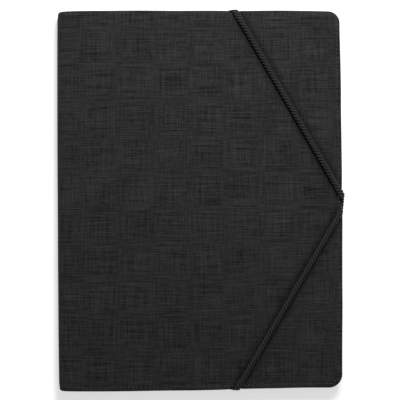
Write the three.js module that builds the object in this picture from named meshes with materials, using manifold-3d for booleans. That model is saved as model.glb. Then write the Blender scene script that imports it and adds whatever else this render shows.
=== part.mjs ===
// A fabric-covered A4 padfolio, closed and lying on its back cover.
// Millimetres. X runs from the spine to the fore-edge, +Y is the head of the page, +Z leaves the front cover.
// The origin is at the middle of the back cover's outer face.
import * as THREE from 'three';
import { mergeVertices } from 'three/addons/utils/BufferGeometryUtils.js';
import Module from 'manifold-3d';

const wasm = await Module();
wasm.setup();

// Writing pad, and the room that the covers leave round it
const padWidth = 210;
const padHeight = 297;
const sheetsThickness = 4.0;
const padBackingThickness = 0.8;
const padForeEdgeMargin = 8;
const padSpineMargin = 22;
const padHeadMargin = 11.5;
const bindingWidth = 19;
const bindingThickness = 0.3;

// Covers
const headCornerRadius = 9.5;
const tailCornerRadius = 11.5;
const edgeRounding = 1.0;
const clothThickness = 0.8;
const coverBoardThickness = 2.0;
const spineBoardThickness = 1.5;
const liningThickness = 0.5;
const hemWidth = 4.5;
const liningInset = 1.5;
const layerGap = 0.3;
const cutOverrun = 20;
const cutThrough = 1;

// Folds: the cloth rolls round the spine on an arc, and each layer stops short of the fold by an angle
const rollRadius = 6.0;
const clothFoldAngle = 42;
const boardFoldAngle = 12;
const liningFoldAngle = 38;
const boardRoomAngle = 2;

// Sleeve on the back lining that holds the pad's backing card
const sleeveThickness = 0.5;
const sleeveMargin = 5;
const sleeveHeight = 250;

// Pockets on the front lining
const documentPocketThickness = 0.5;
const documentPocketHeight = 212;
const documentPocketSpineMargin = 18;
const pocketMargin = 6;
const cardSlotCount = 3;
const cardSlotThickness = 0.4;
const cardSlotWidth = 96;
const cardSlotStep = 10;
const shortestSlotHeight = 34;
const cardSlotSpineMargin = 30;
const pocketSpacing = 6;

// Pen loop, sewn to the back lining beside the spine
const penLoopWidth = 9.0;
const penLoopHeight = 7.6;
const penLoopLength = 20;
const penLoopWall = 0.6;
const penLoopPlaceY = 40;
const penLoopCornerRadius = 3.4;

// Elastic cords: each crosses one corner of the front cover and is sewn into the back cover's edge seam
const cordDiameter = 5.0;
const cordClearance = 0.3;
const cordSides = 12;

// Where each cord meets the head or tail edge and the fore-edge
const upperCordEndX = 31.8;
const upperCordForeY = 5.8;
const lowerCordEndX = 30.9;
const lowerCordForeY = -10.9;

// The cord is pressed flatter towards the edges, flat against them and flattest in the seam
const cordRoundFrom = 14;
const cordPressedLength = 6;
const cordPressedWidth = 5.8;
const cordPressedThickness = 3.8;
const cordEdgeBend = 3.0;
const cordEndProud = 0.8;
const upperCordForeProud = 2.1;
const cordWallWidth = 6.0;
const cordWallThickness = 2.0;
const cordSeamBend = 3.2;
const cordSeamDepth = 4.2;
const cordSeamWidth = 6.0;
const cordSeamThickness = 1.8;
const cordBendSteps = 6;

// Worked out from the sizes above
const coverWidth = padSpineMargin + padWidth + padForeEdgeMargin;
const coverHeight = padHeight + 2 * padHeadMargin;
const coverThickness = clothThickness + coverBoardThickness + liningThickness + 2 * layerGap;
const padBackingBottom = coverThickness + layerGap;
const sleeveBottom = padBackingBottom + padBackingThickness + layerGap;
const sheetsBottom = sleeveBottom + sleeveThickness + layerGap;
const sheetsTop = sheetsBottom + sheetsThickness;
const slotStack = cardSlotCount * (cardSlotThickness + layerGap);
const pocketStack = Math.max(slotStack, documentPocketThickness + layerGap, bindingThickness + layerGap);
const closedThickness = sheetsTop + layerGap + pocketStack + coverThickness;
const frontLiningBottom = closedThickness - coverThickness;
const halfWidth = coverWidth / 2;
const halfHeight = coverHeight / 2;
const boardDepth = clothThickness + layerGap;
const coverLiningDepth = boardDepth + coverBoardThickness + layerGap;
const spineLiningDepth = boardDepth + spineBoardThickness + layerGap;
const padRight = halfWidth - padForeEdgeMargin;
const seamHeight = boardDepth + coverBoardThickness / 2;

const radians = THREE.MathUtils.degToRad;
const mergeDistance = 1e-5;
const rollSteps = 5;

function toSolid(geometry) {
  const bare = geometry.clone();
  bare.deleteAttribute('normal');
  bare.deleteAttribute('uv');
  const merged = mergeVertices(bare, mergeDistance);
  return new wasm.Manifold(new wasm.Mesh({
    numProp: 3,
    vertProperties: new Float32Array(merged.attributes.position.array),
    triVerts: new Uint32Array(merged.index.array),
  }));
}

function toGeometry(solid) {
  const mesh = solid.getMesh();
  const geometry = new THREE.BufferGeometry();
  geometry.setAttribute('position', new THREE.BufferAttribute(mesh.vertProperties, 3));
  geometry.setIndex(new THREE.BufferAttribute(mesh.triVerts, 1));
  geometry.computeVertexNormals();
  return geometry;
}

// A flat shape drawn in X and Z, made as long as the cover is high along Y
function extrudeAlongY(shape, length) {
  const geometry = new THREE.ExtrudeGeometry(shape, { depth: length, bevelEnabled: false, curveSegments: 6 });
  geometry.rotateX(Math.PI / 2);
  geometry.translate(0, length / 2, 0);
  return geometry;
}

function extrudeAlongZ(shape, bottom, top, rounding = 0) {
  const geometry = new THREE.ExtrudeGeometry(shape, {
    depth: top - bottom - 2 * rounding,
    bevelEnabled: rounding > 0,
    bevelThickness: rounding,
    bevelSize: rounding,
    bevelOffset: -rounding,
    bevelSegments: 3,
    curveSegments: 8,
  });
  geometry.translate(0, 0, bottom + rounding);
  return geometry;
}

function block(left, right, low, high, bottom, top) {
  const geometry = new THREE.BoxGeometry(right - left, high - low, top - bottom);
  geometry.translate((left + right) / 2, (low + high) / 2, (bottom + top) / 2);
  return geometry;
}

// Points on the roll between a cover and the spine, at a depth under the cloth's outer face.
// Angle 0 is level with the cover, and 90 is level with the spine.
function rollPoints(depth, fromAngle, toAngle) {
  const points = [];
  const radius = rollRadius - depth;
  for (let step = 0; step <= rollSteps; step += 1) {
    const angle = radians(fromAngle + (toAngle - fromAngle) * step / rollSteps);
    const x = -halfWidth + rollRadius - radius * Math.sin(angle);
    const z = closedThickness - rollRadius + radius * Math.cos(angle);
    points.push(new THREE.Vector2(x, z));
  }
  return points;
}

function mirrorInThickness(points) {
  return points.map((point) => new THREE.Vector2(point.x, closedThickness - point.y));
}

// One layer of a cover: flat, then rolled towards the spine up to the fold angle
function coverLayerShape(side, outerDepth, innerDepth, foldAngle) {
  const past = halfWidth + cutOverrun;
  const outline = [
    new THREE.Vector2(past, closedThickness - outerDepth),
    ...rollPoints(outerDepth, 0, foldAngle),
    ...rollPoints(innerDepth, foldAngle, 0),
    new THREE.Vector2(past, closedThickness - innerDepth),
  ];
  return new THREE.Shape(side === 'front' ? outline : mirrorInThickness(outline));
}

// One layer of the spine: rolled, flat, rolled
function spineLayerShape(outerDepth, innerDepth, foldAngle) {
  const upperOuter = rollPoints(outerDepth, 90 - foldAngle, 90);
  const upperInner = rollPoints(innerDepth, 90, 90 - foldAngle);
  const lowerOuter = mirrorInThickness([...upperOuter]).reverse();
  const lowerInner = mirrorInThickness([...upperInner]).reverse();
  return new THREE.Shape([...upperOuter, ...lowerOuter, ...lowerInner, ...upperInner]);
}

// The cover seen from the front, drawn in from its edges by an inset, and running on past the spine
function coverOutline(inset) {
  const left = -halfWidth - cutOverrun;
  const right = halfWidth - inset;
  const top = halfHeight - inset;
  const headRadius = headCornerRadius - inset;
  const tailRadius = tailCornerRadius - inset;
  const shape = new THREE.Shape();
  shape.moveTo(left, -top);
  shape.lineTo(right - tailRadius, -top);
  shape.absarc(right - tailRadius, -top + tailRadius, tailRadius, -Math.PI / 2, 0, false);
  shape.lineTo(right, top - headRadius);
  shape.absarc(right - headRadius, top - headRadius, headRadius, 0, Math.PI / 2, false);
  shape.lineTo(left, top);
  shape.closePath();
  return shape;
}

function betweenDepths(side, outerDepth, innerDepth) {
  return side === 'front'
    ? [closedThickness - innerDepth, closedThickness - outerDepth]
    : [outerDepth, innerDepth];
}

function coverLayer(side, outerDepth, innerDepth, foldAngle, inset, rounding = 0) {
  const shape = coverLayerShape(side, outerDepth, innerDepth, foldAngle);
  const section = toSolid(extrudeAlongY(shape, coverHeight + 2 * cutOverrun));
  const [near, far] = betweenDepths(side, outerDepth, innerDepth);
  const reach = rounding > 0 ? 0 : rollRadius;
  const outline = toSolid(extrudeAlongZ(coverOutline(inset), near - reach, far + reach, rounding));
  return section.intersect(outline);
}

// Outer cloth of a cover: a tray with a solid hem on its three free sides, open to the board inside
function coverCloth(side) {
  const hemDepth = coverLiningDepth - layerGap;
  const whole = coverLayer(side, 0, hemDepth, clothFoldAngle, 0, edgeRounding);
  const boardSpace = coverLayer(side, clothThickness, hemDepth + cutThrough, 90, hemWidth);
  return whole.subtract(boardSpace);
}

function coverBoard(side) {
  const inset = hemWidth + layerGap;
  return coverLayer(side, boardDepth, boardDepth + coverBoardThickness, boardFoldAngle, inset);
}

function coverLining(side) {
  return coverLayer(side, coverLiningDepth, coverLiningDepth + liningThickness, liningFoldAngle, liningInset);
}

function spineCloth() {
  const hemDepth = spineLiningDepth - layerGap;
  const whole = toSolid(extrudeAlongY(spineLayerShape(0, hemDepth, clothFoldAngle), coverHeight));
  const boardShape = spineLayerShape(clothThickness, hemDepth + cutThrough, clothFoldAngle + boardRoomAngle);
  const boardSpace = toSolid(extrudeAlongY(boardShape, coverHeight - 2 * hemWidth));
  return whole.subtract(boardSpace);
}

function spineBoard() {
  const shape = spineLayerShape(boardDepth, boardDepth + spineBoardThickness, boardFoldAngle);
  return toSolid(extrudeAlongY(shape, coverHeight - 2 * (hemWidth + layerGap)));
}

function spineLining() {
  const shape = spineLayerShape(spineLiningDepth, spineLiningDepth + liningThickness, liningFoldAngle);
  return toSolid(extrudeAlongY(shape, coverHeight - 2 * liningInset));
}

function documentPocket() {
  const top = frontLiningBottom - layerGap;
  const low = -halfHeight + pocketMargin;
  return block(
    -halfWidth + documentPocketSpineMargin, halfWidth - pocketMargin,
    low, low + documentPocketHeight,
    top - documentPocketThickness, top,
  );
}

// Card slots step down towards the reader: number 0 lies on the lining and is the tallest
function cardSlot(number) {
  const top = frontLiningBottom - layerGap - number * (cardSlotThickness + layerGap);
  const left = -halfWidth + cardSlotSpineMargin;
  const low = -halfHeight + pocketMargin + documentPocketHeight + pocketSpacing;
  const height = shortestSlotHeight + (cardSlotCount - 1 - number) * cardSlotStep;
  return block(left, left + cardSlotWidth, low, low + height, top - cardSlotThickness, top);
}

function padSleeve() {
  const low = -halfHeight + sleeveMargin;
  return block(
    padRight - padWidth - sleeveMargin, halfWidth - sleeveMargin,
    low, low + sleeveHeight,
    sleeveBottom, sleeveBottom + sleeveThickness,
  );
}

function padBackingCard() {
  return block(
    padRight - padWidth, padRight, -padHeight / 2, padHeight / 2,
    padBackingBottom, padBackingBottom + padBackingThickness,
  );
}

function padSheets() {
  return block(padRight - padWidth, padRight, -padHeight / 2, padHeight / 2, sheetsBottom, sheetsTop);
}

// Tape folded over the head of the pad, down to the backing card
function padBinding() {
  const head = padHeight / 2;
  const tapeTop = sheetsTop + layerGap + bindingThickness;
  const shape = new THREE.Shape([
    new THREE.Vector2(-(head - bindingWidth), tapeTop - bindingThickness),
    new THREE.Vector2(-(head - bindingWidth), tapeTop),
    new THREE.Vector2(-(head + layerGap + bindingThickness), tapeTop),
    new THREE.Vector2(-(head + layerGap + bindingThickness), padBackingBottom),
    new THREE.Vector2(-(head + layerGap), padBackingBottom),
    new THREE.Vector2(-(head + layerGap), tapeTop - bindingThickness),
  ]);
  const geometry = new THREE.ExtrudeGeometry(shape, { depth: padWidth, bevelEnabled: false });
  geometry.rotateX(Math.PI / 2);
  geometry.rotateZ(-Math.PI / 2);
  geometry.translate(padRight, 0, 0);
  return geometry;
}

function roundedRectangle(width, height, radius) {
  const shape = new THREE.Shape();
  const x = width / 2 - radius;
  const y = height / 2 - radius;
  shape.absarc(x, y, radius, 0, Math.PI / 2, false);
  shape.absarc(-x, y, radius, Math.PI / 2, Math.PI, false);
  shape.absarc(-x, -y, radius, Math.PI, Math.PI * 1.5, false);
  shape.absarc(x, -y, radius, Math.PI * 1.5, Math.PI * 2, false);
  shape.closePath();
  return shape;
}

function penLoop() {
  const band = roundedRectangle(penLoopWidth, penLoopHeight, penLoopCornerRadius);
  const inner = penLoopCornerRadius - penLoopWall;
  band.holes.push(roundedRectangle(penLoopWidth - 2 * penLoopWall, penLoopHeight - 2 * penLoopWall, inner));
  const geometry = extrudeAlongY(band, penLoopLength);
  const gutterLeft = -halfWidth + spineLiningDepth + liningThickness;
  const gutterRight = padRight - padWidth - sleeveMargin;
  geometry.translate(
    (gutterLeft + gutterRight) / 2,
    penLoopPlaceY,
    coverThickness + layerGap + penLoopHeight / 2,
  );
  return geometry;
}

// The corners of one cord's centre line, with the leg that leaves each corner: the way its flat side faces.
// It leaves the seam at the head or tail, climbs that edge, crosses the front and goes down the fore-edge.
function cordCorners(end, endX, foreY, foreProud) {
  const run = new THREE.Vector2(halfWidth - endX, foreY - end * halfHeight);
  const length = run.length();
  const along = run.clone().normalize();
  const endDrift = along.x / Math.abs(along.y);
  const foreDrift = along.y / along.x;
  const climb = closedThickness - seamHeight;
  const endWall = end * (halfHeight + cordEndProud - cordWallThickness / 2);
  const foreWall = halfWidth + foreProud - cordWallThickness / 2;
  const lowX = endX - climb * endDrift;
  const lowY = foreY + climb * foreDrift;
  const seam = { width: cordSeamWidth, thickness: cordSeamThickness, facing: [0, 0, -1] };
  const climbing = { width: cordWallWidth, thickness: cordWallThickness, facing: [0, end, 0] };
  const onEdge = { width: cordWallWidth, thickness: cordWallThickness, facing: [0, 0, 1] };
  const crossing = { width: cordDiameter, thickness: cordDiameter, facing: [0, 0, 1] };
  const pressed = { width: cordPressedWidth, thickness: cordPressedThickness, facing: [0, 0, 1] };
  const descending = { width: cordWallWidth, thickness: cordWallThickness, facing: [1, 0, 0] };
  const edgeHeight = closedThickness + cordClearance + cordWallThickness / 2;
  const onFront = (distance, form) => ({
    centre: [endX + along.x * distance, end * halfHeight + along.y * distance,
      closedThickness + cordClearance + form.thickness / 2],
    bend: 0,
    ...form,
  });
  return [
    { centre: [lowX, end * (halfHeight - cordSeamDepth), seamHeight], bend: 0, ...seam },
    { centre: [lowX, endWall, seamHeight], bend: cordSeamBend, ...climbing },
    { centre: [endX, endWall, edgeHeight], bend: cordEdgeBend, ...onEdge },
    onFront(cordPressedLength, pressed),
    onFront(cordRoundFrom, crossing),
    onFront(length - cordRoundFrom, crossing),
    onFront(length - cordPressedLength, pressed),
    { centre: [foreWall, foreY, edgeHeight], bend: cordEdgeBend, ...descending },
    { centre: [foreWall, lowY, seamHeight], bend: cordSeamBend, ...seam },
    { centre: [halfWidth - cordSeamDepth, lowY, seamHeight], bend: 0, ...seam },
  ];
}

// Rings along the corners: one at each plain corner, and a few round each bend
function cordRings(corners) {
  const place = (corner) => new THREE.Vector3(...corner.centre);
  const rings = [];
  corners.forEach((corner, number) => {
    const here = place(corner);
    const before = corners[Math.max(number - 1, 0)];
    const after = corners[Math.min(number + 1, corners.length - 1)];
    const incoming = here.clone().sub(place(before)).normalize();
    const outgoing = place(after).sub(here).normalize();
    const steps = corner.bend > 0 ? cordBendSteps : 0;
    const reach = corner.bend > 0 ? corner.bend * Math.tan(incoming.angleTo(outgoing) / 2) : 0;
    for (let step = 0; step <= steps; step += 1) {
      const mix = steps > 0 ? step / steps : 0.5;
      const start = here.clone().addScaledVector(incoming, -reach);
      const finish = here.clone().addScaledVector(outgoing, reach);
      const centre = start.multiplyScalar((1 - mix) ** 2)
        .addScaledVector(here, 2 * mix * (1 - mix))
        .addScaledVector(finish, mix ** 2);
      const tangent = incoming.clone().multiplyScalar(1 - mix).addScaledVector(outgoing, mix).normalize();
      const facing = new THREE.Vector3(...before.facing).lerp(new THREE.Vector3(...corner.facing), mix);
      rings.push({ centre, tangent, facing, width: corner.width, thickness: corner.thickness });
    }
  });
  return rings;
}

// A closed tube of an oval section, made larger all round by a clearance
function cordTube(corners, clearance) {
  const rings = cordRings(corners);
  rings[0].centre.addScaledVector(rings[0].tangent, -clearance);
  rings.at(-1).centre.addScaledVector(rings.at(-1).tangent, clearance);
  const positions = [];
  const index = [];
  rings.forEach((ring) => {
    const slant = ring.facing.dot(ring.tangent);
    const facing = ring.facing.clone().addScaledVector(ring.tangent, -slant).normalize();
    const across = new THREE.Vector3().crossVectors(ring.tangent, facing);
    for (let side = 0; side < cordSides; side += 1) {
      const angle = 2 * Math.PI * side / cordSides;
      const point = ring.centre.clone()
        .addScaledVector(across, (ring.width / 2 + clearance) * Math.cos(angle))
        .addScaledVector(facing, (ring.thickness / 2 + clearance) * Math.sin(angle));
      positions.push(point.x, point.y, point.z);
    }
  });
  for (let ring = 0; ring + 1 < rings.length; ring += 1) {
    for (let side = 0; side < cordSides; side += 1) {
      const next = (side + 1) % cordSides;
      const a = ring * cordSides + side;
      const b = ring * cordSides + next;
      index.push(a, a + cordSides, b, b, a + cordSides, b + cordSides);
    }
  }
  const last = (rings.length - 1) * cordSides;
  for (let side = 1; side + 1 < cordSides; side += 1) {
    index.push(0, side, side + 1);
    index.push(last, last + side + 1, last + side);
  }
  const geometry = new THREE.BufferGeometry();
  geometry.setAttribute('position', new THREE.Float32BufferAttribute(positions, 3));
  geometry.setIndex(index);
  return geometry;
}

const upperCorners = cordCorners(1, upperCordEndX, upperCordForeY, upperCordForeProud);
const lowerForeProud = upperCordForeProud - cordWallThickness - cordClearance;
const lowerCorners = cordCorners(-1, lowerCordEndX, lowerCordForeY, lowerForeProud);
const cordSpaces = [upperCorners, lowerCorners].map((corners) => toSolid(cordTube(corners, cordClearance)));

function clearOfCords(solid) {
  return cordSpaces.reduce((rest, space) => rest.subtract(space), solid);
}

const cloth = { color: 0x2b2b2c, roughness: 0.9, metalness: 0 };
const greyBoard = { color: 0x8c857a, roughness: 0.95, metalness: 0 };
const lining = { color: 0x1c1c1e, roughness: 0.8, metalness: 0 };
const paper = { color: 0xf3f0e6, roughness: 0.95, metalness: 0 };
const tape = { color: 0x24242a, roughness: 0.7, metalness: 0 };
const elastic = { color: 0x1b1b1c, roughness: 0.75, metalness: 0 };

const padfolio = new THREE.Group();

function add(name, shape, finish) {
  const geometry = shape.isBufferGeometry ? shape : toGeometry(shape);
  const mesh = new THREE.Mesh(geometry, new THREE.MeshStandardMaterial(finish));
  mesh.name = name;
  padfolio.add(mesh);
}

for (const side of ['front', 'back']) {
  add(`${side}_outer_fabric`, clearOfCords(coverCloth(side)), cloth);
  add(`${side}_board`, clearOfCords(coverBoard(side)), greyBoard);
  add(`${side}_lining`, clearOfCords(coverLining(side)), lining);
}
add('spine_outer_fabric', spineCloth(), cloth);
add('spine_board', spineBoard(), greyBoard);
add('spine_lining', spineLining(), lining);
add('document_pocket', documentPocket(), lining);
for (let number = 0; number < cardSlotCount; number += 1) {
  add(`card_slot_${number + 1}`, cardSlot(number), lining);
}
add('pad_sleeve', padSleeve(), lining);
add('pad_backing_card', padBackingCard(), greyBoard);
add('pad_sheets', padSheets(), paper);
add('pad_binding_strip', padBinding(), tape);
add('pen_loop', penLoop(), elastic);
add('upper_elastic_cord', cordTube(upperCorners, 0), elastic);
add('lower_elastic_cord', cordTube(lowerCorners, 0), elastic);

export default padfolio;
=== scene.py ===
import bmesh
import bpy
import math
import numpy as np
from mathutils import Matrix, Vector


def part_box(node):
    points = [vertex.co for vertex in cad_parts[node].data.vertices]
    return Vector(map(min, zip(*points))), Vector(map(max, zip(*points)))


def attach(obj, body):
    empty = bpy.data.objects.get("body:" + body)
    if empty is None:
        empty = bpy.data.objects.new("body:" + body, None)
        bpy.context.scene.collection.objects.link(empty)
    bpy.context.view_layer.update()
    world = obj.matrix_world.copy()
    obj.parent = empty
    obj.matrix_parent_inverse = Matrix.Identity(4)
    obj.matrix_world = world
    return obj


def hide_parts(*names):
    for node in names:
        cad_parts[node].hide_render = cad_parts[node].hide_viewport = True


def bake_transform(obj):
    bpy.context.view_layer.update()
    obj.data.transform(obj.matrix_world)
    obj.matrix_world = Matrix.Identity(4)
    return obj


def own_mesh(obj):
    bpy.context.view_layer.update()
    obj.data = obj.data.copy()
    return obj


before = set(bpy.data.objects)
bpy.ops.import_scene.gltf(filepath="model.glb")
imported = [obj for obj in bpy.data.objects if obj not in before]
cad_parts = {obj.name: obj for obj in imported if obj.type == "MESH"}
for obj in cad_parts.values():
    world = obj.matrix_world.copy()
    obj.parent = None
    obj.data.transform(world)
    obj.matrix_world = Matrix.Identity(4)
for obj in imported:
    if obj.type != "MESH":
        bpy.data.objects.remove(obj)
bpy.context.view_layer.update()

# Sizes are in millimetres and become metres when a mesh is made.
MM = 0.001

# Covers. x runs from the spine to the fore-edge and y from the tail to the head.
_, cloth_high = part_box("front_outer_fabric")
HALF_WIDTH = cloth_high.x / MM
HALF_HEIGHT = cloth_high.y / MM
THICKNESS = cloth_high.z / MM
HEAD_CORNER_RADIUS = 9.5
TAIL_CORNER_RADIUS = 11.5
ROLL_RADIUS = 6.0
ROLL_X = -HALF_WIDTH + ROLL_RADIUS
SPINE_MIDDLE = ROLL_X - ROLL_RADIUS * math.pi / 2 - (THICKNESS / 2 - ROLL_RADIUS)
CLOTH_THICKNESS = 0.8
CLOTH_TO_BOARD = 0.15
HEM_DEPTH = 3.1
HEM_WIDTH = 4.5
LINING_DEPTH = 3.4
LINING_THICKNESS = 0.5
LINING_INSET = 1.5
# Over the spine the lining lies a little higher, from just before the roll
SPINE_LINING_RISE = 0.5
LINING_RISE_START = 1
LINING_RISE_FULL = 8

# Degrees from which an edge is drawn sharp
SHARP_ANGLE = 35
WELDED_SHARP_ANGLE = 50
CORD_SHARP_ANGLE = 80

# Spacing of the cover meshes
EDGE_GRID = 1.75
ROLL_POINTS = 15
CORNER_STEPS = 16
BORDER = 12.0

# How the photographed cover departs from a true rectangle
FORE_EDGE_BOW = 1.2
SPINE_BOW = 0.8
SPINE_TAIL_DRIFT = 0.5
HEAD_BOW = 1.2
TAIL_BOW = 0.9
BOW_POWER = 8
BOW_START = 20
TAIL_BOW_START = 60
TAIL_BOW_FULL = 10

# Unevenness of the outer cloth
SPINE_DIP = 0.5
SPINE_DIP_START = -100
SPINE_DIP_FULL = -113
SPINE_DIP_BACK = -114
SPINE_DIP_END = -120
RELIEF_FULL_X = -118
FACE_WAVE = 0.12
FACE_WAVE_LENGTH = 60
FACE_SEEDS = {"front": 5, "back": 6}
EDGE_WAVE = 0.16
EDGE_WAVE_LENGTH = 38
EDGE_SEEDS = {"front": 11, "back": 12}

# What the cords do to the cloth: a groove under them, a painted shadow beside them and dents in the edges
CORD_GROOVE = 0.6
CORD_GROOVE_REACH = 3.6
CORD_SINK = 0.5
CORD_SHADOW_SHARE = 0.95
CORD_SHADOW_REACH = 5.0
END_DENT_REACH = 3.6
FORE_DENT_REACH = 3.8
DENT_SHARES = {"front": 0.12, "back": 0.88}

# Sewing
STITCH_PITCH = 3.5
STITCH_LENGTH = 3.4
STITCH_INSET = 3.3
STITCH_UNEVEN = 0.12
STITCH_RISE = 0.1
STITCH_SINK = 0.9
STITCH_SEEDS = {"front": 10, "back": 9}
SEAM_TURN_POINTS = 10
SEAM_RELIEF_SHARE = 0.5
STITCH_RINGS = 7
STITCH_SIDES = 8
THREAD_RADIUS = 0.42
STITCH_GROOVE = 0.38
INNER_GROOVE = 0.16

# Elastic cords
CORD_DIAMETER = 5.0
CORD_CLEARANCE = 0.3
CORD_WALL_THICKNESS = 2.0
CORD_WALL_WIDTH = 5.2
CORD_PRESSED_THICKNESS = 3.8
CORD_PRESSED_WIDTH = 5.8
CORD_SEAM_THICKNESS = 1.8
CORD_SEAM_WIDTH = 5.0
CORD_SEAM_HEIGHT = 2.1
CORD_SEAM_DEPTH = 4.2
CORD_SEAM_BEND = 3.2
CORD_EDGE_BEND = 3.0
CORD_PRESSED_LENGTH = 6.0
CORD_ROUND_FROM = 14.0
CORD_END_PROUD = 0.8
CORD_FORE_PROUD = 1.6
CORD_DRIFT = -0.7
CORD_STEP = 0.45
CORD_BEND_STEPS = 14
CORD_SIDES = 42
CENTRE_SOFTENING = 3
FACING_SOFTENING = 24
SIZE_SOFTENING = 30
TWIST_LEAD = 9.0
TWIST_PLIES = 3
PLY_RADIUS = 1.3
# end is 1 for the head edge and -1 for the tail edge. A cord crosses that edge at end_x and the
# fore-edge at fore_y. There it stands proud, pulls the edge in by fore_dent and is thicker by swell.
CORDS = {
    "upper": {
        "end": 1, "end_x": 31.8, "fore_y": 5.8, "fore_dent": 0.2, "swell": 1.3,
        "proud": CORD_FORE_PROUD,
    },
    "lower": {
        "end": -1, "end_x": 30.9, "fore_y": -10.9, "fore_dent": 0.4, "swell": 1.0,
        "proud": CORD_FORE_PROUD - CORD_WALL_THICKNESS - CORD_CLEARANCE,
    },
}

# Sewn panels inside. The rim's lines lie close together, because its edge is round.
PANEL_RIM = (0, 0.04, 0.15, 0.4, 0.9, 1.5, 1.9, 2.3, 3.0, 3.6, 4.4)
PANEL_GRID = 3.0
PANEL_EDGE_RADIUS = 0.4
PANEL_CORNER = 2.3
PANEL_SLACK = 0.1
PANEL_SEAM = 1.9
PANEL_GROOVE = 0.14
PANEL_GROOVE_REACH = 0.5
PANEL_WAVE = 0.05
PANEL_WAVE_LENGTH = 55
PANEL_WAVE_START = 2
PANEL_WAVE_FULL = 14
BINDING_EDGE = 4.0
BINDING_SLOPE = 0.3
BINDING_RISE = 0.1

# Writing pad
LEAVES = 36
LEAF_SHARE = 0.93
LEAF_MARGIN = 0.15
LEAF_SHIFT = 0.14
LEAF_SEED = 71
RULE_PITCH = 8.0
RULE_SHARE = 0.028
RULES_TOP = 112
RULES_BOTTOM = -140
MARGIN_X = 30.0
MARGIN_HALF_WIDTH = 0.14

# Pen loop
LOOP_WALL = 0.6
LOOP_CORNER = 3.4
LOOP_CORNER_STEPS = 12
LOOP_SLACK = 0.1

# Cover cloth. Each kind of streak: its direction, thread width, length and share of the tone.
STREAKS = (("X", 0.9, 30, 0.36), ("Y", 0.9, 30, 0.26), ("X", 0.7, 6, 0.18), ("Y", 0.7, 6, 0.15))
STREAK_STEP = (7.3, 3.1)
CLOUD_SIZE = 45
CLOUD_SHARE = 0.05
COVER_THREAD = 0.55
LINING_THREAD = 0.5
LINING_CLOUD_SIZE = 18
ELASTIC_THREAD = 0.42

# Camera, as the photograph was taken: a little left of the middle, looking down. Turns are in degrees.
CAMERA_PLACE = (-41.2, -2.9, 1014.9)
CAMERA_TURN = (0.207, -2.348, -0.389)
CAMERA_LENS = 106.2
CAMERA_SENSOR = 36.0
CAMERA_NEAR = 0.05
CAMERA_FAR = 20

# Studio. Places and sizes are in metres, powers in watts.
WORLD_STRENGTH = 0.12
KEY_LIGHT = {"place": (0.11, 0.47, 0.64), "target": (-0.01, 0.08, 0), "size": 0.26, "power": 4.8}
FILL_LIGHT = {"place": (-0.15, 0.15, 1.4), "target": (0, 0.1, 0), "size": 1.2, "power": 0.8}
GROUND_REACH = 3.0
GROUND_DROP = 0.0006
GROUND_LEVEL = 236
GROUND_GLOW = 0.6


def smooth(start, end, value):
    share = np.clip((value - start) / (end - start), 0.0, 1.0)
    return share * share * (3 - 2 * share)


def near(distance, reach):
    """1 at no distance, falling softly to nothing past the reach."""
    return np.exp(-(distance / reach) ** 2)


def unit(vector):
    return vector / (np.linalg.norm(vector) + 1e-12)


def waves(x, y, seed, length):
    """A gentle uneven field, about -1 to 1, with bumps of about that length."""
    draw = np.random.default_rng(seed)
    total = np.zeros(np.broadcast(x, y).shape)
    for _ in range(7):
        angle = draw.uniform(0, 2 * math.pi)
        phase = draw.uniform(0, 2 * math.pi)
        pitch = length * draw.uniform(0.7, 1.6)
        total = total + np.sin((x * math.cos(angle) + y * math.sin(angle)) * 2 * math.pi / pitch + phase)
    return total / 4


def make_object(name, points, faces, material, attributes=None, angle=SHARP_ANGLE):
    mesh = bpy.data.meshes.new(name)
    mesh.from_pydata((np.asarray(points) * MM).tolist(), [], faces)
    mesh.update()
    for key, values in (attributes or {}).items():
        layer = mesh.attributes.new(key, "FLOAT_VECTOR", "POINT")
        layer.data.foreach_set("vector", np.asarray(values, np.float32).ravel())
    piece = bpy.data.objects.new(name, mesh)
    bpy.context.scene.collection.objects.link(piece)
    piece.data.materials.append(material)
    mesh.shade_smooth()
    mesh.set_sharp_from_angle(angle=math.radians(angle))
    return piece


def make_camera():
    data = bpy.data.cameras.new("camera")
    data.lens = CAMERA_LENS
    data.sensor_width = CAMERA_SENSOR
    data.sensor_fit = "HORIZONTAL"
    data.clip_start = CAMERA_NEAR
    data.clip_end = CAMERA_FAR
    camera = bpy.data.objects.new("camera", data)
    camera.location = Vector(CAMERA_PLACE) * MM
    camera.rotation_euler = [math.radians(angle) for angle in CAMERA_TURN]
    bpy.context.scene.collection.objects.link(camera)
    bpy.context.scene.camera = camera


# Materials

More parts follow.
